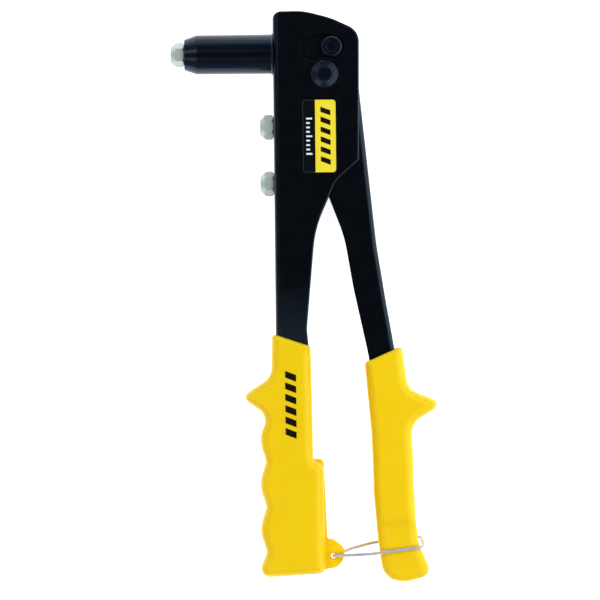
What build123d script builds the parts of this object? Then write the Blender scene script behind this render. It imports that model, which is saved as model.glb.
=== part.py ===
from build123d import *
from math import atan2, cos, degrees, radians, sin, tan
import os

# Hand riveter, lying on its side. Millimetres.
# Everything is drawn in the tool's own coordinates, with the origin at the middle of the lever's
# pivot pin: X runs away from the nose, Y towards the head, Z out of the upper side plate.
# export() moves each piece to the row's frame, whose origin is under the middle of the tool.

# ---- driving dimensions ------------------------------------------------------------------

PIVOT_X = 10.52  # pivot pin's place in the row's frame
PIVOT_Y = 103.47
HALF_GRIP = 11.5  # half the thickness of the tool, over the grips

BODY_HALF = 9.5  # half the outer width of the body channel
BODY_SHEET = 2.3
WEB_X = -23.9  # outer face of the channel's front web
BODY_END_Y = -215.0
BODY_BEND = 2.6  # outside radius of the folded edges
EDGE_ROLL = 0.8  # rounding that the stamping die leaves on the cheeks' cut edges
CUT = 100.0  # size of a cutting block, past anything that it cuts

LEVER_HALF = 7.1  # half the outer width of the lever channel, 0.1 inside the body's cheeks
LEVER_SHEET = 2.0
LEVER_END_Y = -212.0
LEVER_BEND = 2.4
LEVER_WEB_TOP = -8.0  # the lever's web stops here, above it there are only the two cheeks
FRONT_EDGE_Y = -60.0  # the lever's front edge is open from its top down to here
PIVOT_EYE_R = 11.0  # outside of the cheeks round the pivot pin
CROSS_EYE_R = 8.0  # and round the cross pin

PIVOT_R = 4.0
PIVOT_HEAD_R = 6.38
PIVOT_HEAD_FLAT_R = 3.7
PIN_RIM = 0.5  # height of a pin head's straight rim
HEAD_GROOVES = 20  # pressed round the pivot pin's heads by the riveting tool
GROOVE_R = 0.45
GROOVE_DEPTH = 0.22
BUSH_R = 6.0
RUNNING = 0.06  # radial running clearance
CROSS_R = 4.9  # cross pin that works the pull rod
CROSS_PROUD = 0.9  # how far its ends stand out of the body's cheeks
CROSS_DISH_R = 2.6
CROSS_DISH_DEPTH = 0.4
CROSS_ORBIT = 13.25  # its distance from the pivot
CROSS_ANGLE = 75.0  # its direction from the pivot, seen from above, with the handles latched
SQUEEZE = 2.0  # degrees from latched to fully squeezed
OPEN = 40.0  # degrees from latched to fully open
SLOT_HALF = 5.6  # half the width of the arc slot in the body
SLOT_COVER_R = 5.65  # the lever's lobe that fills the slot's far end while the handles are latched

BARREL_Y = 9.7
BARREL_R = 9.15
BARREL_FRONT_R = 7.15
BARREL_FRONT_X = -65.2
BARREL_TAPER_X = -59.6
CAVITY_R = 6.5
CAVITY_FRONT_X = -58.7
CAVITY_REAR_X = -27.0
WASHER_THICK = 0.9
WASHER_R = 9.7
SHANK_R = 5.0
SHANK_END_X = -15.8
LOCK_NUT_THICK = 3.4
LOCK_NUT_HEIGHT = 17.0
LOCK_NUT_SLACK = 0.4  # between the nut and each cheek

NOSE_AF = 10.0  # nosepiece hexagon across flats
NOSE_HEX = 6.4
NOSE_THREAD_R = 3.25
NOSE_TAIL_R = 2.6
MANDREL_R = 1.05  # bore of the fitted nosepiece
SPARE_BORES = (1.3, 1.6)  # bores of the two spare nosepieces
SPARE_YS = (-24.4, -50.75)
NOSE_TURN = 0.0  # how far each hexagon is screwed round from flat side up, in degrees
SPARE_TURNS = (-3.0, 0.0)
SPARE_HOLDER_R = 5.6
SPARE_HOLDER_THICK = 4.5

CASE_R = 6.43
CASE_FRONT_X = -49.2  # jaw case's front with the handles latched
CASE_LENGTH = 18.0
CONE = 10.0  # half angle of the jaw cone, in degrees
CONE_FRONT_R = 3.4
JAW_FRONT = 0.5  # jaw fronts behind the case's front
JAW_LENGTH = 7.5
JAW_BORE_R = 0.8
JAW_GAP = 0.15
JAW_CLEAR = 0.05
PUSHER_FLANGE = 1.3
PUSHER_TAIL = 2.0
CASE_WALL = 4.5
ROD_R = 3.0

LABEL_THICK = 0.15
LABEL_WIDTH = 15.4
LABEL_HEIGHT = 33.7
LABEL_CORNER_R = 1.6
LABEL_CENTRE = (-2.75, -28.85)
WIRE_R = 0.75
TAB_HOLE = (2.0, -224.2)
TAB_HOLE_R = 1.3
TAB_HALF = 2.0
GRIP_RIM = 1.8  # rounding of the fixed grip's flat sides
NECK_Y = -211.5  # the lever grip is thinner below this
NECK_HALF = 9.3  # half the thickness of the lever grip under the latch wire

CROSS_X = CROSS_ORBIT * cos(radians(CROSS_ANGLE))
CROSS_Y = CROSS_ORBIT * sin(radians(CROSS_ANGLE))
OPEN_TRAVEL = CROSS_X - CROSS_ORBIT * cos(radians(CROSS_ANGLE + OPEN))


# ---- helpers -----------------------------------------------------------------------------


def rounded(corners):
    """Face with the given corners, each (x, y, radius)."""
    points = [(x, y) for x, y, radius in corners]
    radii = [radius for x, y, radius in corners]
    return make_face(FilletPolyline(*points, radius=radii, close=True))


def plate(face, half):
    """The face made into a plate from -half to half."""
    return extrude(face, half, both=True)


def softened(solid, half, radius):
    """Rounds the rims of both flat sides."""
    rims = [e for e in solid.edges() if abs(abs(e.center().Z) - half) < 0.01]
    return fillet(rims, radius)


def turned(profile):
    """Solid turned about the X axis from a profile of (x, radius) points."""
    return revolve(make_face(Polyline(*profile, close=True)), Axis.X)


def drilled(radius, x_from, x_to):
    """Cylinder along X, for a bore or a plain shank."""
    length = x_to - x_from
    return Pos((x_from + x_to) / 2, 0, 0) * Rot(0, 90, 0) * Cylinder(radius, length)


def upright(radius, z_from, z_to):
    """Cylinder along Z."""
    return Pos(0, 0, (z_from + z_to) / 2) * Cylinder(radius, z_to - z_from)


def on_barrel(shape):
    """Moves a piece made on the X axis onto the barrel's axis."""
    return Pos(0, BARREL_Y, 0) * shape


def coil(radius, wire_r, x_from, x_to, turns):
    """Compression spring along X, from x_from to x_to over all."""
    height = x_to - x_from - 2 * wire_r
    path = Helix(height / turns, height, radius)
    section = Plane(path @ 0, z_dir=path % 0) * Circle(wire_r)
    spring = sweep(section, path=path)
    return Pos(x_from + wire_r, 0, 0) * Rot(0, 90, 0) * spring


# ---- body --------------------------------------------------------------------------------

BODY_OUTLINE = (
    (WEB_X, 29.3, 3.8),
    (-9.5, 29.5, 30.0),
    (3.5, 26.0, 40.0),
    (16.2, 20.0, 8.0),
    (15.6, -40.1, 1.5),
    (4.6, -50.0, 14.0),
    (-5.1, -71.8, 55.0),
    (-9.4, -118.5, 15.0),
    (-8.4, -129.0, 5.0),
    (-10.8, BODY_END_Y, 0.0),
    (WEB_X, BODY_END_Y, 0.0),
)


def folded_block(front_x, half, bend):
    """Block past the body's ends, with the two edges of its front face rounded."""
    block = Box(CUT, 4 * CUT, 2 * half)
    corners = block.faces().sort_by(Axis.X)[0].edges().filter_by(Axis.Y)
    return Pos(front_x + CUT / 2, -CUT, 0) * fillet(corners, bend)


def body_envelope():
    """The body channel as if it were solid, with its two folded front edges."""
    block = softened(plate(rounded(BODY_OUTLINE), BODY_HALF), BODY_HALF, EDGE_ROLL)
    return block & folded_block(WEB_X, BODY_HALF, BODY_BEND)


def arc_slot():
    """Slot that the cross pin swings in, round the pivot."""
    start = CROSS_ANGLE - SQUEEZE
    centre_line = CenterArc((0, 0), CROSS_ORBIT, start, SQUEEZE + OPEN)
    return SlotArc(centre_line, 2 * SLOT_HALF)


def body_hollow():
    """Space between the channel's cheeks, behind its front web."""
    return folded_block(WEB_X + BODY_SHEET, BODY_HALF - BODY_SHEET, BODY_BEND - BODY_SHEET)


def make_body_frame():
    frame = body_envelope() - body_hollow()
    frame -= plate(arc_slot(), 2 * BODY_HALF)
    frame -= upright(PIVOT_R, -CUT, CUT)
    frame -= on_barrel(drilled(SHANK_R, WEB_X - 1, WEB_X + 5))
    for y in SPARE_YS:
        frame -= Pos(0, y, 0) * drilled(NOSE_THREAD_R, WEB_X - 1, WEB_X + 5)
    return frame


def make_id_label():
    """Thin sticker on the upper cheek."""
    sticker = extrude(RectangleRounded(LABEL_WIDTH, LABEL_HEIGHT, LABEL_CORNER_R), LABEL_THICK)
    return Pos(*LABEL_CENTRE, BODY_HALF) * sticker


# ---- nose --------------------------------------------------------------------------------


def make_nose_barrel():
    seat_x = WEB_X - WASHER_THICK
    barrel = turned(
        (
            (BARREL_FRONT_X, 0),
            (BARREL_FRONT_X, BARREL_FRONT_R),
            (BARREL_TAPER_X, BARREL_R),
            (seat_x, BARREL_R),
            (seat_x, SHANK_R),
            (SHANK_END_X, SHANK_R),
            (SHANK_END_X, 0),
        )
    )
    barrel -= drilled(NOSE_THREAD_R, BARREL_FRONT_X - 1, CAVITY_FRONT_X + 1)
    barrel -= drilled(CAVITY_R, CAVITY_FRONT_X, CAVITY_REAR_X)
    barrel -= drilled(ROD_R + RUNNING, CAVITY_REAR_X - 1, SHANK_END_X + 1)
    return on_barrel(barrel)


def make_barrel_washer():
    """Washer with a rolled rim, between the barrel and the front web."""
    front = WEB_X - WASHER_THICK
    washer = turned(
        (
            (front, SHANK_R),
            (front, BARREL_R + 0.1),
            (WEB_X - 0.3, WASHER_R),
            (WEB_X, WASHER_R),
            (WEB_X, SHANK_R),
        )
    )
    return on_barrel(washer)


def make_barrel_lock_nut():
    """Nut that the body's cheeks keep from turning."""
    front = WEB_X + BODY_SHEET
    width = 2 * (BODY_HALF - BODY_SHEET - LOCK_NUT_SLACK)
    nut = Pos(front + LOCK_NUT_THICK / 2, 0, 0) * Box(LOCK_NUT_THICK, LOCK_NUT_HEIGHT, width)
    nut = chamfer(nut.edges().filter_by(Axis.X), 1.0)
    return on_barrel(nut - drilled(SHANK_R, front - 1, front + LOCK_NUT_THICK + 1))


def nosepiece(bore, thread, tail, turn):
    """Nosepiece with its seat at X = 0 and its hexagon towards -X, turned from flat side up."""
    hexagon = extrude(RegularPolygon(NOSE_AF / 2, 6, major_radius=False, rotation=30), NOSE_HEX)
    hexagon = Rot(turn, 0, 0) * Rot(0, -90, 0) * hexagon
    corner_r = NOSE_AF / 2 / cos(radians(30))
    crown = turned(
        (
            (0, 0),
            (0, NOSE_AF / 2 - 0.25),
            (-1.0, corner_r + 0.1),
            (-3.7, corner_r + 0.1),
            (-NOSE_HEX, 3.5),
            (-NOSE_HEX, 0),
        )
    )
    shank = drilled(NOSE_THREAD_R, 0, thread)
    if tail > thread:
        shank += drilled(NOSE_TAIL_R, thread, tail)
    end = max(thread, tail)
    return (hexagon & crown) + shank - drilled(bore, -NOSE_HEX - 1, end + 1)


def make_fitted_nosepiece():
    """Its tail stops just short of the jaws when the handles are fully open."""
    jaws_open_x = CASE_FRONT_X - OPEN_TRAVEL + JAW_FRONT
    thread = CAVITY_FRONT_X - BARREL_FRONT_X
    tail = jaws_open_x - 0.1 - BARREL_FRONT_X
    return Pos(BARREL_FRONT_X, BARREL_Y, 0) * nosepiece(MANDREL_R, thread, tail, NOSE_TURN)


def make_spare_nosepiece(index):
    thread = BODY_SHEET + SPARE_HOLDER_THICK
    spare = nosepiece(SPARE_BORES[index], thread, 0, SPARE_TURNS[index])
    return Pos(WEB_X, SPARE_YS[index], 0) * spare


def make_spare_holder(index):
    """Weld nut behind the front web, for a spare nosepiece."""
    front = WEB_X + BODY_SHEET
    back = front + SPARE_HOLDER_THICK
    nut = drilled(SPARE_HOLDER_R, front, back) - drilled(NOSE_THREAD_R, front - 1, back + 1)
    rear_rims = nut.edges().filter_by_position(Axis.X, back - 0.01, back + 0.01)
    nut = chamfer(rear_rims.sort_by(SortBy.LENGTH)[-1], 0.6)
    return Pos(0, SPARE_YS[index], 0) * nut


# ---- jaws and pull rod -------------------------------------------------------------------


def cone_r(depth):
    """Radius of the case's cone at this depth behind the case's front."""
    return CONE_FRONT_R + depth * tan(radians(CONE))


def make_jaw_case():
    cone_end = JAW_FRONT + JAW_LENGTH + 2.0
    back = CASE_LENGTH - CASE_WALL
    case = drilled(CASE_R, 0, CASE_LENGTH)
    case -= turned(((-1, 0), (-1, cone_r(-1)), (cone_end, cone_r(cone_end)), (cone_end, 0)))
    case -= drilled(cone_r(cone_end), cone_end, back)
    case -= drilled(ROD_R, back - 1, CASE_LENGTH + 1)
    return Pos(CASE_FRONT_X, BARREL_Y, 0) * case


def make_jaw(index):
    """One of three jaws that the cone wedges onto the rivet's mandrel."""
    end = JAW_FRONT + JAW_LENGTH
    jaw = turned(
        (
            (JAW_FRONT, 0),
            (JAW_FRONT, cone_r(JAW_FRONT) - JAW_CLEAR),
            (end, cone_r(end) - JAW_CLEAR),
            (end, 0),
        )
    )
    jaw -= drilled(JAW_BORE_R, 0, end + 1)
    for side in (-1, 1):
        neighbour = Pos(0, 0, side * (10 - JAW_GAP)) * Box(40, 20, 20)
        jaw -= Rot(side * 60, 0, 0) * neighbour
    return Pos(CASE_FRONT_X, BARREL_Y, 0) * Rot(index * 120, 0, 0) * jaw


def make_jaw_pusher():
    front = JAW_FRONT + JAW_LENGTH
    flange = front + PUSHER_FLANGE
    tail = flange + PUSHER_TAIL
    pusher = drilled(cone_r(front) - 0.1, front, flange) + drilled(2.4, flange, tail)
    pusher -= drilled(1.2, front - 1, tail + 1)
    return Pos(CASE_FRONT_X, BARREL_Y, 0) * pusher


def make_pusher_spring():
    front = JAW_FRONT + JAW_LENGTH + PUSHER_FLANGE
    return Pos(CASE_FRONT_X, BARREL_Y, 0) * coil(3.5, 0.35, front, CASE_LENGTH - CASE_WALL, 4)


def make_return_spring():
    """Compression spring round the rod, which opens the handles."""
    return on_barrel(coil(4.6, 0.4, CASE_FRONT_X + CASE_LENGTH, CAVITY_REAR_X, 3))


def make_pull_rod():
    """Rod in the jaw case, with a fork that hangs over the cross pin."""
    fork_half = 4.0
    slack = CROSS_R + 0.25
    wall = 3.0
    left = CROSS_X - slack - wall
    right = CROSS_X + slack + wall
    fork = rounded(
        (
            (left, BARREL_Y - ROD_R, 1.0),
            (left, CROSS_Y + slack + wall, 7.0),
            (right, CROSS_Y + slack + wall, 7.0),
            (right, BARREL_Y - 0.5, 1.0),
            (CROSS_X + slack, BARREL_Y - 0.5, 0.0),
            (CROSS_X + slack, CROSS_Y + slack + 0.5, 4.0),
            (CROSS_X - slack, CROSS_Y + slack + 0.5, 4.0),
            (CROSS_X - slack, BARREL_Y - ROD_R, 0.0),
        )
    )
    rod_from = CASE_FRONT_X + CASE_LENGTH - CASE_WALL
    return plate(fork, fork_half) + on_barrel(drilled(ROD_R, rod_from, left + 1))


# ---- lever -------------------------------------------------------------------------------

LEVER_OUTLINE = (
    (13.4, 6.0, 0.0),
    (16.1, -8.0, 40.0),
    (23.3, -79.0, 150.0),
    (27.5, -106.0, 200.0),
    (31.6, -130.0, 60.0),
    (38.2, LEVER_END_Y, 0.0),
    (24.6, LEVER_END_Y, 0.0),
    (19.6, -133.0, 60.0),
    (12.4, -99.3, 120.0),
    (8.5, -75.8, 60.0),
    (1.0, -56.0, 20.0),
    (-9.0, -12.0, 30.0),
    (-9.0, 0.0, 0.0),
    (0.0, 6.0, 0.0),
)


def lever_face():
    """Side view of the lever: a handle, an eye round each of its two pins, and the slot's cover."""
    cross_eye = Pos(CROSS_X, CROSS_Y) * Circle(CROSS_EYE_R)
    pivot_eye = Circle(PIVOT_EYE_R)
    slot_end = Rot(0, 0, CROSS_ANGLE + OPEN) * Pos(CROSS_ORBIT, 0) * Circle(SLOT_COVER_R)
    return rounded(LEVER_OUTLINE) + make_hull(cross_eye.edges() + pivot_eye.edges() + slot_end.edges())


def on_outer_bend(edge):
    """True for an edge of the folded rear side, from the handle's end to its top."""
    middle = edge.center()
    is_handle = middle.Y < FRONT_EDGE_Y
    halfway_x = 6.5 - 0.124 * middle.Y if is_handle else 10.0
    return middle.X > halfway_x and middle.Y > LEVER_END_Y + 4


def lever_envelope():
    """The lever channel as if it were solid, with its two folded rear edges."""
    block = plate(rounded(LEVER_OUTLINE), LEVER_HALF)
    rims = [e for e in block.edges() if abs(abs(e.center().Z) - LEVER_HALF) < 0.01]
    return fillet([e for e in rims if on_outer_bend(e)], LEVER_BEND)


def lever_hollow():
    """Space between the cheeks: inside the fold, above the web, and out of the open front edge."""
    inner = LEVER_HALF - LEVER_SHEET
    hollow = plate(rounded(LEVER_OUTLINE), inner).move(Location((-LEVER_SHEET, 0, 0)))
    hollow += Pos(0, LEVER_WEB_TOP + CUT / 2, 0) * Box(CUT, CUT, 2 * inner)
    hollow += Pos(-CUT / 2, FRONT_EDGE_Y + CUT / 2, 0) * Box(CUT, CUT, 2 * inner)
    return hollow


def make_lever_channel():
    eyes = plate(lever_face(), LEVER_HALF) & Pos(0, LEVER_WEB_TOP + CUT / 2, 0) * Box(CUT, CUT, CUT)
    lever = lever_envelope() + eyes - lever_hollow()
    lever -= upright(PIVOT_R + RUNNING, -CUT, CUT)
    lever -= Pos(CROSS_X, CROSS_Y, 0) * upright(CROSS_R, -CUT, CUT)
    return lever


def head_groove(radius, height, flat_r):
    """Cutter for a shallow groove down a pin head's slope, towards +X."""
    slope = degrees(atan2(height - 2 * PIN_RIM, radius - PIN_RIM - flat_r))
    halfway = Pos((flat_r + radius - PIN_RIM) / 2, 0, height / 2 + PIN_RIM)
    lift = Pos(0, 0, GROOVE_R - GROOVE_DEPTH)
    return halfway * Rot(0, slope, 0) * lift * Rot(0, 90, 0) * Cylinder(GROOVE_R, radius)


def pin_head(radius, height, flat_r):
    """Head standing on the plane Z = 0, with grooves pressed down its slope."""
    profile = Polyline(
        (0, 0),
        (radius, 0),
        (radius, PIN_RIM),
        (radius - PIN_RIM, 2 * PIN_RIM),
        (flat_r, height),
        (0, height),
        close=True,
    )
    head = revolve(Plane.XZ * make_face(profile), Axis.Z)
    groove = head_groove(radius, height, flat_r)
    for i in range(HEAD_GROOVES):
        head -= Rot(0, 0, i * 360 / HEAD_GROOVES) * groove
    return head


def make_pivot_pin():
    height = HALF_GRIP - BODY_HALF
    head = Pos(0, 0, BODY_HALF) * pin_head(PIVOT_HEAD_R, height, PIVOT_HEAD_FLAT_R)
    return upright(PIVOT_R, -BODY_HALF, BODY_HALF) + head + mirror(head, Plane.XY)


def make_pivot_bush():
    """Spacer between the lever's cheeks, round the pivot pin."""
    half = LEVER_HALF - LEVER_SHEET - 0.05
    return upright(BUSH_R, -half, half) - upright(PIVOT_R + RUNNING, -CUT, CUT)


def make_cross_pin():
    """Cross pin, with a bevelled and dished end at each side."""
    end = BODY_HALF + CROSS_PROUD
    pin = upright(CROSS_R, -end, end)
    pin = chamfer(pin.edges().filter_by(GeomType.CIRCLE), 0.8)
    dish = upright(CROSS_DISH_R, end - CROSS_DISH_DEPTH, end + 1)
    return Pos(CROSS_X, CROSS_Y, 0) * (pin - dish - mirror(dish, Plane.XY))


# ---- grips -------------------------------------------------------------------------------

WAVE_PITCH = 21.1  # finger grooves of the fixed grip
WAVE_TOP = -169.4
WAVE_OUT = -32.3
WAVE_IN = -29.0

FIXED_GRIP_TOP = (
    (-7.3, -152.0, 60.0),
    (-7.8, -126.4, 1.5),
    (-25.7, -120.4, 1.5),
    (-26.2, -140.6, 8.0),
    (-40.3, -149.9, 2.6),
    (-27.9, -158.7, 6.5),
)
FIXED_GRIP_FOOT = (
    (WAVE_IN, -222.2, 4.0),
    (-33.8, -234.0, 4.0),
    (-2.3, -232.3, 2.6),
    (-2.3, -181.6, 4.5),
    (-7.1, -180.0, 2.4),
)
TAB_OUTLINE = (
    (-10.0, -178.9, 0.0),
    (-2.2, -178.9, 2.2),
    (-0.8, -216.2, 0.0),
    (2.0, -216.4, 3.0),
    (7.6, -220.6, 5.0),
    (5.9, -229.4, 6.5),
    (-2.4, -230.6, 0.0),
    (-10.0, -230.6, 0.0),
)


def fixed_grip_outline():
    """Grip with a finger stop and three finger grooves."""
    waves = []
    for i in range(3):
        peak = WAVE_TOP - i * WAVE_PITCH
        waves.append((WAVE_OUT, peak, 13.0))
        if i < 2:
            waves.append((WAVE_IN, peak - WAVE_PITCH / 2, 4.0))
    return rounded(FIXED_GRIP_TOP + tuple(waves) + FIXED_GRIP_FOOT)


def make_fixed_grip():
    """Moulded grip over the body channel, with a thin tab for the latch wire."""
    grip = softened(plate(fixed_grip_outline(), HALF_GRIP), HALF_GRIP, GRIP_RIM)
    tab = plate(rounded(TAB_OUTLINE), TAB_HALF)
    tab -= Pos(*TAB_HOLE) * upright(TAB_HOLE_R, -CUT, CUT)
    return grip + tab - body_envelope()


LEVER_GRIP_OUTLINE = (
    (34.7, -126.8, 1.5),
    (17.3, -134.4, 1.5),
    (20.2, -168.0, 60.0),
    (21.0, -197.0, 60.0),
    (22.7, -217.0, 20.0),
    (25.2, -235.4, 9.0),
    (36.0, -236.6, 14.0),
    (47.9, -233.3, 4.5),
    (41.6, -219.0, 14.0),
    (40.2, -206.0, 60.0),
    (39.1, -170.0, 60.0),
    (39.0, -162.8, 8.0),
    (54.0, -153.6, 2.8),
    (37.3, -147.0, 7.5),
)


def make_lever_grip():
    """Moulded grip over the lever channel, thinner at its lower end, where the latch goes."""
    grip = plate(rounded(LEVER_GRIP_OUTLINE), HALF_GRIP)
    neck_from = NECK_Y + 5.5
    side = rounded(
        (
            (-CUT, HALF_GRIP, 0),
            (neck_from, HALF_GRIP, 12.0),
            (NECK_Y, NECK_HALF, 6.0),
            (-3 * CUT, NECK_HALF, 0),
            (-3 * CUT, -NECK_HALF, 0),
            (NECK_Y, -NECK_HALF, 6.0),
            (neck_from, -HALF_GRIP, 12.0),
            (-CUT, -HALF_GRIP, 0),
        )
    )
    grip &= extrude(Plane.YZ * side, CUT)
    return grip - lever_envelope()


# ---- latch -------------------------------------------------------------------------------


def make_latch_wire():
    """Wire bail through the tab's hole and round the neck of the lever grip."""
    leg_z = 10.5
    start = Vector(*TAB_HOLE, 0)
    corners = (
        (*TAB_HOLE, 3.4),
        (11.0, -223.8, 6.6),
        (19.5, -223.3, leg_z),
        (44.0, -220.2, leg_z),
        (43.1, -215.8, -leg_z),
        (20.2, -218.6, -leg_z),
        (10.5, -221.0, -6.4),
        (*TAB_HOLE, -3.4),
    )
    radii = (1.3, 12.0, 8.0, 3.2, 3.2, 8.0, 12.0, 1.3)
    path = FilletPolyline(start, *corners, Vector(*TAB_HOLE, -0.01), radius=radii)
    section = Plane(path @ 0, z_dir=path % 0) * Circle(WIRE_R)
    return sweep(section, path=path)


# ---- hand-in -----------------------------------------------------------------------------


def export(node, shape):
    placed = Pos(PIVOT_X, PIVOT_Y, HALF_GRIP) * shape
    export_step(placed, f"parts/{node}.step")


def main():
    os.makedirs("parts", exist_ok=True)
    export("body_frame", make_body_frame())
    export("id_label", make_id_label())
    export("nose_barrel", make_nose_barrel())
    export("barrel_washer", make_barrel_washer())
    export("barrel_lock_nut", make_barrel_lock_nut())
    export("fitted_nosepiece", make_fitted_nosepiece())
    for index, name in enumerate(("upper", "lower")):
        export(f"spare_nosepiece_{name}", make_spare_nosepiece(index))
        export(f"spare_holder_nut_{name}", make_spare_holder(index))
    export("jaw_case", make_jaw_case())
    for index in range(3):
        export(f"jaw_{index + 1}", make_jaw(index))
    export("jaw_pusher", make_jaw_pusher())
    export("pusher_spring", make_pusher_spring())
    export("return_spring", make_return_spring())
    export("pull_rod", make_pull_rod())
    export("lever_channel", make_lever_channel())
    export("pivot_pin", make_pivot_pin())
    export("pivot_bush", make_pivot_bush())
    export("cross_pin", make_cross_pin())
    export("fixed_grip", make_fixed_grip())
    export("lever_grip", make_lever_grip())
    export("latch_wire", make_latch_wire())


main()
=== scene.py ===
import math

import bmesh
import bpy
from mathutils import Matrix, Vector
from mathutils.kdtree import KDTree


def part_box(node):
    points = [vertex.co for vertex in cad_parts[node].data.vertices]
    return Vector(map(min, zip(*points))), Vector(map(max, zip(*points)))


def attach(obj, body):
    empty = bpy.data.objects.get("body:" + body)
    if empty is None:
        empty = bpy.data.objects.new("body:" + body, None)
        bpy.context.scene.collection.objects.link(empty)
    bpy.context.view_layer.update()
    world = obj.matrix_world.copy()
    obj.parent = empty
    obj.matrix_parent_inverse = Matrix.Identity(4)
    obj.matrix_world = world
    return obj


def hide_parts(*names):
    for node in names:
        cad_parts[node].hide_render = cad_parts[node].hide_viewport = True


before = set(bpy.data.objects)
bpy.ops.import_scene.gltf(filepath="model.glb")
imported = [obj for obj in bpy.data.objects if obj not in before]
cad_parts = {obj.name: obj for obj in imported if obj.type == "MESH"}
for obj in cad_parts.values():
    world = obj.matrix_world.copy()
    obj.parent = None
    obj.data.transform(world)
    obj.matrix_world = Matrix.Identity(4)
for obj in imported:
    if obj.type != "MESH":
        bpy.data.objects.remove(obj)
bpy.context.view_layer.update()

# Looks of a hand riveter that lies on its side. Lengths are in metres in the row's frame, and shapes
# are given in millimetres in the tool's own coordinates: the origin is the middle of the pivot pin,
# X runs away from the nose, Y towards the head and Z out of the upper side.

MM = 0.001
PIVOT = sum(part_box("pivot_pin"), Vector()) / 2


def place(x, y, z):
    """A point in the row's frame, from tool coordinates in millimetres."""
    return PIVOT + Vector((x, y, z)) * MM


# ---- material building blocks ------------------------------------------------------------


class Finish:
    """A material and short calls that add nodes to it."""

    def __init__(self, name):
        self.material = bpy.data.materials.new(name)
        self.material.use_nodes = True
        self.tree = self.material.node_tree
        self.shader = self.tree.nodes["Principled BSDF"]
        self.place = self.node("TexCoord").outputs["Object"]

    def feed(self, socket, value):
        if isinstance(value, bpy.types.NodeSocket):
            self.tree.links.new(value, socket)
        else:
            socket.default_value = value

    def node(self, kind, inputs=None, **settings):
        made = self.tree.nodes.new("ShaderNode" + kind)
        for name, value in settings.items():
            setattr(made, name, value)
        for name, value in (inputs or {}).items():
            self.feed(made.inputs[name], value)
        return made

    def set(self, **inputs):
        """Sets inputs of the main shader, with _ for each space."""
        for name, value in inputs.items():
            self.feed(self.shader.inputs[name.replace("_", " ")], value)

    def math(self, operation, a, b=0.0):
        return self.node("Math", {0: a, 1: b}, operation=operation).outputs[0]

    def stretched(self, x, y, z):
        """Object coordinates scaled by these factors, for drawn-out textures."""
        return self.node("Mapping", {"Vector": self.place, "Scale": (x, y, z)}).outputs[0]

    def noise(self, size_mm, detail=3.0, vector=None):
        """Noise from 0 to 1 with features of about this size."""
        inputs = {"Vector": vector or self.place, "Scale": 1 / (size_mm * MM), "Detail": detail}
        return self.node("TexNoise", inputs).outputs[0]

    def spread(self, value, low, high, to_low, to_high):
        """Value from low to high mapped to to_low to to_high, and held there outside."""
        inputs = {
            "Value": value,
            "From Min": low,
            "From Max": high,
            "To Min": to_low,
            "To Max": to_high,
        }
        return self.node("MapRange", inputs).outputs[0]

    def blend(self, factor, first, second):
        """Colour between two colours."""
        mix = self.node("Mix", data_type="RGBA")
        for index, value in ((0, factor), (6, first), (7, second)):
            self.feed(mix.inputs[index], value)
        return mix.outputs[2]

    def edges(self, radius_mm, noise_mm):
        """Broken-up mask that is 1 along worn edges and 0 elsewhere."""
        rounded = self.node("Bevel", {"Radius": radius_mm * MM}, samples=4).outputs[0]
        flat = self.node("NewGeometry").outputs["Normal"]
        product = self.node("VectorMath", {0: rounded, 1: flat}, operation="DOT_PRODUCT")
        edge = self.spread(product.outputs["Value"], 0.8, 0.97, 1.0, 0.0)
        return self.math("MULTIPLY", edge, self.spread(self.noise(noise_mm), 0.45, 0.6, 0.0, 1.0))

    def bump(self, height, depth_mm, edge_mm=0.0):
        """Sets the surface's normal from a height from 0 to 1, with edges softened by edge_mm."""
        inputs = {"Height": height, "Strength": 1.0, "Distance": depth_mm * MM}
        if edge_mm:
            inputs["Normal"] = self.node("Bevel", {"Radius": edge_mm * MM}, samples=4).outputs[0]
        self.set(Normal=self.node("Bump", inputs).outputs[0])


def colour(red, green, blue):
    return (red, green, blue, 1.0)


COOL_GLOSS = colour(0.72, 0.90, 1.0)  # tint of the reflections in the black finishes
PAINTED_SHEEN_START = 96.0  # how far below the pivot the painted reflection on the body's paint begins
PAINTED_SHEEN_FULL = 121.0  # and where it is at its fullest
PARTING_WIDTH = 0.25  # half the width of the grips' parting line


# ---- materials ---------------------------------------------------------------------------


def black_paint(name, painted_sheen):
    """Stoved semi-gloss paint, with a slight orange peel and thin wear on the sheet's edges.

    This argument, from 0 to 1, sets a painted reflection: the paint colour turns lighter and bluer
    towards the grip.
    """
    paint = Finish(name)
    clouds = paint.noise(14.0)
    paint_tone = paint.blend(clouds, colour(0.0014, 0.0018, 0.0026), colour(0.0020, 0.0025, 0.0035))
    along = paint.node("SeparateXYZ", {0: paint.place}).outputs["Y"]
    sheen_share = paint.spread(along, PIVOT.y - PAINTED_SHEEN_START * MM, PIVOT.y - PAINTED_SHEEN_FULL * MM, 0.0, painted_sheen)
    # painted reflection: the paint colour turns lighter and bluer towards the grip
    base = paint.blend(sheen_share, paint_tone, colour(0.0085, 0.0130, 0.0145))
    wear = paint.edges(0.2, 1.6)
    paint.set(
        Base_Color=paint.blend(wear, base, colour(0.009, 0.011, 0.014)),
        Roughness=paint.spread(paint.noise(5.0), 0.3, 0.7, 0.17, 0.22),
        Specular_IOR_Level=0.30,
        Specular_Tint=COOL_GLOSS,
    )
    paint.bump(paint.noise(1.3, 2.0), 0.004, edge_mm=0.3)
    return paint.material


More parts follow.
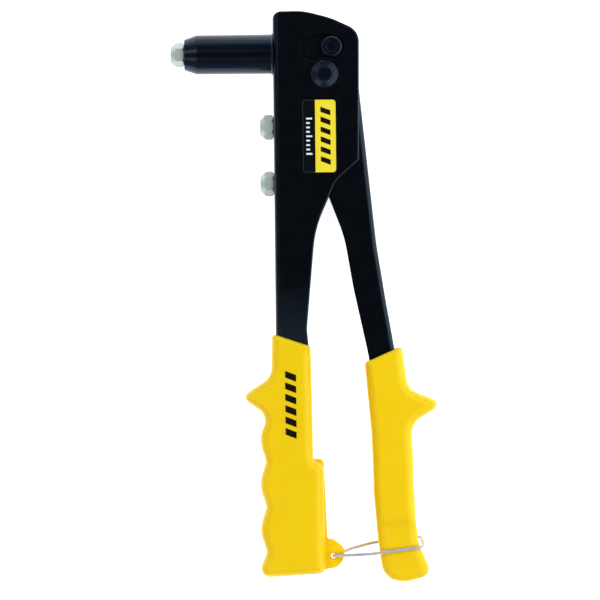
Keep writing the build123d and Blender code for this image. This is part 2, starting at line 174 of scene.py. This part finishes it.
def black_oxide():
    """Oiled black oxide on turned steel, with fine turning lines."""
    oxide = Finish("black_oxide")
    clouds = oxide.noise(6.0)
    base = oxide.blend(clouds, colour(0.0012, 0.0017, 0.0030), colour(0.0019, 0.0026, 0.0044))
    wear = oxide.edges(0.3, 1.0)
    lines = oxide.noise(1.0, 4.0, oxide.stretched(7.0, 0.25, 0.25))
    oxide.set(
        Base_Color=oxide.blend(wear, base, colour(0.03, 0.032, 0.037)),
        Roughness=oxide.spread(clouds, 0.3, 0.7, 0.17, 0.21),
        Specular_IOR_Level=0.36,
        Specular_Tint=COOL_GLOSS,
    )
    oxide.bump(lines, 0.0005, edge_mm=0.25)
    return oxide.material


def pin_steel():
    """Black finish of the pins' ends, a little lighter than the paint round them."""
    steel = Finish("pin_black")
    clouds = steel.noise(1.5)
    base = steel.blend(clouds, colour(0.0016, 0.0024, 0.0062), colour(0.0026, 0.0036, 0.0086))
    wear = steel.edges(0.2, 0.8)
    steel.set(
        Base_Color=steel.blend(wear, base, colour(0.012, 0.014, 0.020)),
        Roughness=steel.spread(clouds, 0.3, 0.7, 0.17, 0.23),
        Specular_IOR_Level=0.36,
        Specular_Tint=COOL_GLOSS,
    )
    steel.bump(steel.noise(0.7), 0.006, edge_mm=0.3)
    return steel.material


def bright_zinc():
    """Zinc plate: pale, slightly cloudy, with a faint greenish passivation."""
    zinc = Finish("bright_zinc")
    clouds = zinc.noise(2.2)
    patches = zinc.spread(clouds, 0.35, 0.65, 0.0, 1.0)
    zinc.set(
        Base_Color=zinc.blend(patches, colour(0.45, 0.55, 0.48), colour(0.52, 0.56, 0.43)),
        Metallic=0.50,
        Roughness=zinc.spread(zinc.noise(1.2), 0.3, 0.7, 0.31, 0.42),
    )
    zinc.bump(zinc.noise(1.2, 2.0), 0.002, edge_mm=0.15)
    return zinc.material


def wire_steel():
    """Nickel-plated spring wire, faintly cloudy."""
    wire = Finish("wire_steel")
    marks = wire.noise(2.5)
    wire.set(
        Base_Color=wire.blend(marks, colour(0.48, 0.47, 0.42), colour(0.58, 0.57, 0.51)),
        Metallic=0.40,
        Roughness=wire.spread(marks, 0.3, 0.7, 0.30, 0.38),
    )
    wire.bump(wire.noise(0.3, 2.0), 0.001)
    return wire.material


def plain_steel():
    """Machined steel of the inner parts, lightly oiled."""
    steel = Finish("plain_steel")
    marks = steel.noise(1.0, 4.0, steel.stretched(5.0, 0.4, 0.4))
    steel.set(
        Base_Color=steel.blend(marks, colour(0.30, 0.30, 0.31), colour(0.48, 0.48, 0.49)),
        Metallic=0.9,
        Roughness=steel.spread(marks, 0.3, 0.7, 0.30, 0.45),
    )
    steel.bump(marks, 0.004, edge_mm=0.2)
    return steel.material


def yellow_plastic():
    """Satin moulded vinyl, with a fine skin texture and a parting line round its middle."""
    vinyl = Finish("yellow_plastic")
    clouds = vinyl.noise(30.0, 2.0)
    base = vinyl.blend(clouds, colour(0.965, 0.585, 0.0010), colour(0.985, 0.635, 0.0018))
    height = vinyl.node("SeparateXYZ", {0: vinyl.place}).outputs["Z"]
    from_middle = vinyl.math("ABSOLUTE", vinyl.math("SUBTRACT", height, PIVOT.z))
    parting = vinyl.spread(from_middle, 0.0, PARTING_WIDTH * MM, 1.0, 0.0)
    skin = vinyl.spread(vinyl.noise(0.45, 2.0), 0.0, 1.0, 0.0, 0.25)
    vinyl.set(
        Base_Color=base,
        Roughness=vinyl.spread(vinyl.noise(4.0), 0.3, 0.7, 0.33, 0.40),
        Specular_IOR_Level=0.18,
        Subsurface_Weight=0.45,
        Subsurface_Radius=(1.0, 0.42, 0.04),
        Subsurface_Scale=2.6 * MM,
    )
    vinyl.bump(vinyl.math("ADD", parting, skin), 0.03)
    return vinyl.material


def printed(name, first, second, roughness, specular=0.3):
    """Printed film or ink, slightly uneven."""
    ink = Finish(name)
    ink.set(
        Base_Color=ink.blend(ink.noise(1.6), first, second),
        Roughness=ink.spread(ink.noise(0.9), 0.3, 0.7, roughness - 0.04, roughness + 0.04),
        Specular_IOR_Level=specular,
    )
    ink.bump(ink.noise(0.4), 0.001)
    return ink.material


def pale_floor():
    """Matt floor that gives off some light of its own, so that it stays white under the tool."""
    floor = Finish("pale_floor")
    floor.set(
        Base_Color=floor.blend(floor.noise(400.0), colour(0.84, 0.84, 0.84), colour(0.88, 0.88, 0.88)),
        Roughness=0.9,
        Specular_IOR_Level=0.1,
        Emission_Color=colour(1.0, 1.0, 1.0),
        Emission_Strength=0.86,
    )
    return floor.material


# the body's paint gets the full painted reflection towards the grip; the lever's gets none
BODY_PAINT = black_paint("body_paint", painted_sheen=1.0)
LEVER_PAINT = black_paint("lever_paint", painted_sheen=0.0)
BLACK_OXIDE = black_oxide()
PIN_BLACK = pin_steel()
BRIGHT_ZINC = bright_zinc()
WIRE_STEEL = wire_steel()
PLAIN_STEEL = plain_steel()
YELLOW_PLASTIC = yellow_plastic()
LABEL_BLACK = printed(
    "label_black",
    colour(0.0028, 0.0034, 0.0036),
    colour(0.0042, 0.0050, 0.0052),
    roughness=0.24,
    specular=0.12,
)
LABEL_BORDER = printed(
    "label_border", colour(0.018, 0.020, 0.022), colour(0.026, 0.028, 0.030), roughness=0.34
)
LABEL_YELLOW = printed(
    "label_yellow", colour(0.91, 0.70, 0.026), colour(0.94, 0.74, 0.034), roughness=0.34
)
LABEL_WHITE = printed("label_white", colour(0.78, 0.80, 0.80), colour(0.86, 0.86, 0.86), roughness=0.34)
BLACK_INK = printed(
    "black_ink",
    colour(0.0060, 0.0026, 0.0012),
    colour(0.0095, 0.0042, 0.0018),
    roughness=0.30,
    specular=0.15,
)

CAD_FINISHES = {
    BODY_PAINT: ("body_frame",),
    LEVER_PAINT: ("lever_channel",),
    BLACK_OXIDE: ("nose_barrel", "barrel_washer", "pull_rod", "pivot_bush"),
    PIN_BLACK: ("pivot_pin", "cross_pin"),
    BRIGHT_ZINC: ("fitted_nosepiece", "spare_nosepiece_upper", "spare_nosepiece_lower"),
    WIRE_STEEL: ("latch_wire", "return_spring", "pusher_spring"),
    PLAIN_STEEL: (
        "barrel_lock_nut",
        "spare_holder_nut_upper",
        "spare_holder_nut_lower",
        "jaw_case",
        "jaw_pusher",
        "jaw_1",
        "jaw_2",
        "jaw_3",
    ),
}


def finish_cad_nodes():
    for material, names in CAD_FINISHES.items():
        for name in names:
            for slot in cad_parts[name].material_slots:
                slot.link = "OBJECT"
                slot.material = material


# ---- grips -------------------------------------------------------------------------------

VOXEL = 0.45 * MM
SMOOTHING_PASSES = 3
GRIP_HALF = 11.5  # from the grips' middle plane to their flat sides
FIXED_RIM = 9.6  # the fixed grip's side walls end further than this from that plane
LEVER_RIM = 9.0  # and so do the lever grip's
FIXED_MOUTH = ((-25.7, -120.9), -0.339)  # left end of the line along the mouth, and its slope
LEVER_MOUTH = ((17.3, -135.0), 0.436)
SIDE_ROUNDING = 4.2  # radius of the grips' long edges
MOUTH_ROUNDING = 1.3  # radius round the mouth that the channel goes in at
FLANGE_HALF = 2.4  # everything thinner than this keeps its thickness
GRIP_SHRINK = 0.05  # the printed mark needs this much of the grip's thickness


def outline_points(node, beyond, spacing=0.25 * MM):
    """Points round a grip where its side walls end, all further than this from its middle plane."""
    shape = bmesh.new()
    shape.from_mesh(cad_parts[node].data)
    bmesh.ops.remove_doubles(shape, verts=shape.verts, dist=1e-6)
    points = []
    for edge in shape.edges:
        walls = [abs(face.normal.z) < 0.05 for face in edge.link_faces]
        start, end = (vertex.co for vertex in edge.verts)
        outside = min(abs(start.z - PIVOT.z), abs(end.z - PIVOT.z)) > beyond * MM
        if outside and any(walls) and not all(walls):
            steps = max(1, math.ceil((end - start).length / spacing))
            points += [start.lerp(end, k / steps) for k in range(steps)]
    shape.free()
    return points


def remeshed(node, name):
    """A copy of a CAD node's shape as an even mesh of small quads."""
    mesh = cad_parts[node].data.copy()
    mesh.name = name
    grip = bpy.data.objects.new(name, mesh)
    bpy.context.scene.collection.objects.link(grip)
    weld = grip.modifiers.new("weld", "WELD")
    weld.merge_threshold = 1e-6
    remesh = grip.modifiers.new("remesh", "REMESH")
    remesh.mode = "VOXEL"
    remesh.voxel_size = VOXEL
    remesh.use_smooth_shade = True
    smooth = grip.modifiers.new("smooth", "SMOOTH")
    smooth.factor = 0.5
    smooth.iterations = SMOOTHING_PASSES
    evaluated = grip.evaluated_get(bpy.context.evaluated_depsgraph_get())
    baked = bpy.data.meshes.new_from_object(evaluated)
    grip.modifiers.clear()
    grip.data = baked
    baked.materials.clear()
    baked.materials.append(YELLOW_PLASTIC)
    return grip


def roll_edges(grip, outline, mouth_left, mouth_slope):
    """Rounds the edges of both flat sides: the nearer the outline, the thinner the grip."""
    left = place(*mouth_left, 0)
    tree = KDTree(len(outline))
    for index, point in enumerate(outline):
        tree.insert((point.x, point.y, 0.0), index)
    tree.balance()
    flange = FLANGE_HALF * MM
    for vertex in grip.data.vertices:
        from_middle = vertex.co.z - PIVOT.z
        if abs(from_middle) < flange:
            continue
        nearest, _, distance = tree.find((vertex.co.x, vertex.co.y, 0.0))
        at_mouth = nearest.y > left.y + mouth_slope * (nearest.x - left.x)
        radius = MM * (MOUTH_ROUNDING if at_mouth else SIDE_ROUNDING)
        inset = min(distance, radius)
        drop = radius - math.sqrt(radius**2 - (radius - inset) ** 2)
        limit = (GRIP_HALF - GRIP_SHRINK) * MM - drop
        share = (abs(from_middle) - flange) / (GRIP_HALF * MM - flange)
        vertex.co.z = PIVOT.z + math.copysign(flange + share * (limit - flange), from_middle)


def make_fixed_grip():
    grip = remeshed("fixed_grip", "fixed_grip_moulding")
    roll_edges(grip, outline_points("fixed_grip", FIXED_RIM), *FIXED_MOUTH)
    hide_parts("fixed_grip")
    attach(grip, "body")


def make_lever_grip():
    grip = remeshed("lever_grip", "lever_grip_moulding")
    roll_edges(grip, outline_points("lever_grip", LEVER_RIM), *LEVER_MOUTH)
    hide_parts("lever_grip")
    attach(grip, "lever")


# ---- label and printed marks -------------------------------------------------------------


def rounded_box(centre, width, height, radii, steps=6):
    """Outline of a box with rounded corners; radii go round from the right top corner."""
    points = []
    for index, radius in enumerate(radii):
        side_x = 1 if index in (0, 3) else -1
        side_y = 1 if index in (0, 1) else -1
        corner_x = centre[0] + side_x * (width / 2 - radius)
        corner_y = centre[1] + side_y * (height / 2 - radius)
        for step in range(steps + 1):
            angle = math.radians(90 * (index + step / steps))
            x = corner_x + radius * math.cos(angle)
            y = corner_y + radius * math.sin(angle)
            points.append((x, y))
    return points


def plates(name, outlines, low_z, high_z, material, body):
    """Thin flat pieces between two heights, all in one mesh. Outlines go anticlockwise."""
    lift = Vector((0, 0, (high_z - low_z) * MM))
    corners = []
    faces = []
    for outline in outlines:
        bottom = [place(x, y, low_z) for x, y in outline]
        low = range(len(corners), len(corners) + len(bottom))
        high = range(low.stop, low.stop + len(bottom))
        corners += bottom + [corner + lift for corner in bottom]
        faces += [tuple(reversed(low)), tuple(high)]
        for i in range(len(bottom)):
            faces.append((low[i - 1], low[i], high[i], high[i - 1]))
    mesh = bpy.data.meshes.new(name)
    mesh.from_pydata(corners, [], faces)
    mesh.materials.append(material)
    piece = bpy.data.objects.new(name, mesh)
    bpy.context.scene.collection.objects.link(piece)
    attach(piece, body)
    return piece


LABEL_CENTRE = (-2.75, -28.85)
LABEL_SIZE = (15.4, 33.7)
LABEL_SPLIT_X = -4.6  # where the black strip meets the yellow panel
LABEL_EDGE = 0.28  # width of the film that shows round the black strip
SHARP = 0.05  # radius of corners that look sharp
LABEL_Z = 9.5  # the body's upper face
FILM_TOP = LABEL_Z + 0.08
COLOUR_TOP = LABEL_Z + 0.11
MARK_TOP = LABEL_Z + 0.13
TICK_LEFT = -8.8
TICK_TOP = -20.7
TICK_PITCH = 2.05
TICK_WIDTH = 0.8
GRIP_MARK_LOW = 11.3  # the printed mark is sunk into the grip from here
GRIP_MARK_TOP = 11.49


def make_label():
    """Label with a black strip and a yellow panel, and plain marks in place of its printing."""
    left = LABEL_CENTRE[0] - LABEL_SIZE[0] / 2
    right = LABEL_CENTRE[0] + LABEL_SIZE[0] / 2
    outline = rounded_box(LABEL_CENTRE, *LABEL_SIZE, (1.6,) * 4)
    film = plates("label_film_edge", [outline], LABEL_Z, FILM_TOP, LABEL_BORDER, "body")
    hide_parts("id_label")
    strip_centre = ((left + LABEL_EDGE + LABEL_SPLIT_X) / 2, LABEL_CENTRE[1])
    strip_size = (LABEL_SPLIT_X - left - LABEL_EDGE, LABEL_SIZE[1] - 2 * LABEL_EDGE)
    strip = rounded_box(strip_centre, *strip_size, (SHARP, 1.4, 1.4, SHARP))
    plates("label_black_strip", [strip], FILM_TOP, COLOUR_TOP, LABEL_BLACK, "body")
    panel_centre = ((right + LABEL_SPLIT_X) / 2, LABEL_CENTRE[1])
    panel_size = (right - LABEL_SPLIT_X, LABEL_SIZE[1])
    panel = rounded_box(panel_centre, *panel_size, (1.5, SHARP, SHARP, 1.5))
    plates("label_yellow_panel", [panel], FILM_TOP, COLOUR_TOP, LABEL_YELLOW, "body")
    make_label_marks()


def slanted_bars(x_left, x_right, y_top, pitch, thickness, slant):
    """Outlines of six bars across the tool, each with its right end lower by slant."""
    bars = []
    for i in range(6):
        top = y_top - i * pitch
        bars.append(
            [
                (x_left, top),
                (x_left, top - thickness),
                (x_right, top - slant - thickness),
                (x_right, top - slant),
            ]
        )
    return bars


def make_label_marks():
    """Plain bars on the yellow panel and a row of ticks on the black strip."""
    bars = slanted_bars(x_left=-2.1, x_right=2.5, y_top=-15.2, pitch=4.6, thickness=2.4, slant=1.7)
    plates("label_panel_marks", bars, COLOUR_TOP, MARK_TOP, BLACK_INK, "body")
    ticks = []
    for i in range(9):
        length = 2.8 if i % 4 == 0 else 1.7
        centre = (TICK_LEFT + length / 2, TICK_TOP - i * TICK_PITCH)
        ticks.append(rounded_box(centre, length, TICK_WIDTH, (0.1,) * 4, steps=2))
    plates("label_strip_marks", ticks, COLOUR_TOP, MARK_TOP, LABEL_WHITE, "body")


def make_grip_mark():
    """Printed mark on the fixed grip: a row of slanted bars."""
    bars = slanted_bars(x_left=-19.8, x_right=-14.7, y_top=-137.8, pitch=5.3, thickness=3.1, slant=2.0)
    plates("grip_mark", bars, GRIP_MARK_LOW, GRIP_MARK_TOP, BLACK_INK, "body")


# ---- stage -------------------------------------------------------------------------------

VIEW_WIDTH = 279 * MM  # what the picture is wide, at the height of VIEW_PLANE
VIEW_PLANE = 7.0 * MM  # above the tool's middle plane
CAMERA_HEIGHT = 4.0  # above the tool's middle plane
CAMERA_OVER = (-12.5, -104.95)  # in the tool's coordinates
CAMERA_ROLL = math.radians(-0.6)
FLOOR_GAP = 0.05 * MM  # between the tool and the floor


def make_camera():
    camera = bpy.data.cameras.new("camera")
    camera.sensor_width = 36.0
    camera.lens = camera.sensor_width * (CAMERA_HEIGHT - VIEW_PLANE) / VIEW_WIDTH
    camera.clip_end = 50.0
    holder = bpy.data.objects.new("camera", camera)
    holder.location = place(*CAMERA_OVER, CAMERA_HEIGHT / MM)
    holder.rotation_euler = (0.0, 0.0, CAMERA_ROLL)
    bpy.context.scene.collection.objects.link(holder)
    bpy.context.scene.camera = holder


def soft_box(name, azimuth, elevation, distance, width, height, radiance, tint):
    """Area light aimed at the tool, where azimuth 0 is +X and 90 is +Y.

    A radiance of 1 makes the light as bright as white.
    """
    light = bpy.data.lights.new(name, "AREA")
    light.shape = "RECTANGLE"
    light.size = width
    light.size_y = height
    light.energy = radiance * math.pi * width * height
    light.color = tint
    lamp = bpy.data.objects.new(name, light)
    a, e = math.radians(azimuth), math.radians(elevation)
    away = Vector((math.cos(a) * math.cos(e), math.sin(a) * math.cos(e), math.sin(e)))
    lamp.location = away * distance
    lamp.rotation_euler = away.to_track_quat("Z", "Y").to_euler()
    bpy.context.scene.collection.objects.link(lamp)


def make_lights():
    """A key on the lever's side, a low fill beyond the head and four lights round the tool."""
    soft_box(
        "key_right",
        azimuth=0,
        elevation=30,
        distance=1.2,
        width=1.0,
        height=1.1,
        radiance=2.2,
        tint=(0.72, 0.96, 1.06),
    )
    soft_box(
        "fill_back",
        azimuth=90,
        elevation=13,
        distance=1.4,
        width=1.7,
        height=0.50,
        radiance=0.9,
        tint=(0.76, 0.98, 1.14),
    )
    for corner, radiance in ((45, 2.8), (135, 2.8), (225, 2.9), (315, 2.8)):
        soft_box(
            f"tent_{corner}",
            azimuth=corner,
            elevation=55,
            distance=1.6,
            width=0.8,
            height=0.8,
            radiance=radiance,
            tint=(1.0, 0.99, 0.97),
        )


def make_world():
    """Pale horizon, cooler sides and a dark zenith, so that flat black faces stay black."""
    world = bpy.data.worlds.new("studio")
    world.use_nodes = True
    bpy.context.scene.world = world
    tree = world.node_tree
    direction = tree.nodes.new("ShaderNodeTexCoord").outputs["Generated"]
    split = tree.nodes.new("ShaderNodeSeparateXYZ")
    ramp = tree.nodes.new("ShaderNodeValToRGB")
    tree.links.new(direction, split.inputs[0])
    tree.links.new(split.outputs["Z"], ramp.inputs[0])
    tree.links.new(ramp.outputs[0], tree.nodes["Background"].inputs["Color"])
    stops = (
        (0.0, (0.46, 0.53, 0.76)),
        (0.06, (0.30, 0.39, 0.78)),
        (0.16, (0.22, 0.30, 0.72)),
        (0.55, (0.18, 0.25, 0.62)),
        (0.80, (0.020, 0.027, 0.045)),
        (1.0, (0.010, 0.015, 0.024)),
    )
    elements = ramp.color_ramp.elements
    while len(elements) < len(stops):
        elements.new(0.5)
    for element, (position, tint) in zip(elements, stops):
        element.position = position
        element.color = colour(*tint)


def make_floor():
    shape = bmesh.new()
    bmesh.ops.create_grid(shape, x_segments=8, y_segments=8, size=12.0)
    mesh = bpy.data.meshes.new("floor")
    shape.to_mesh(mesh)
    shape.free()
    mesh.materials.append(pale_floor())
    floor = bpy.data.objects.new("floor", mesh)
    floor.location.z = -FLOOR_GAP
    bpy.context.scene.collection.objects.link(floor)


finish_cad_nodes()
make_fixed_grip()
make_lever_grip()
make_label()
make_grip_mark()
make_camera()
make_lights()
make_world()
make_floor()
bpy.context.scene.view_settings.view_transform = "Standard"
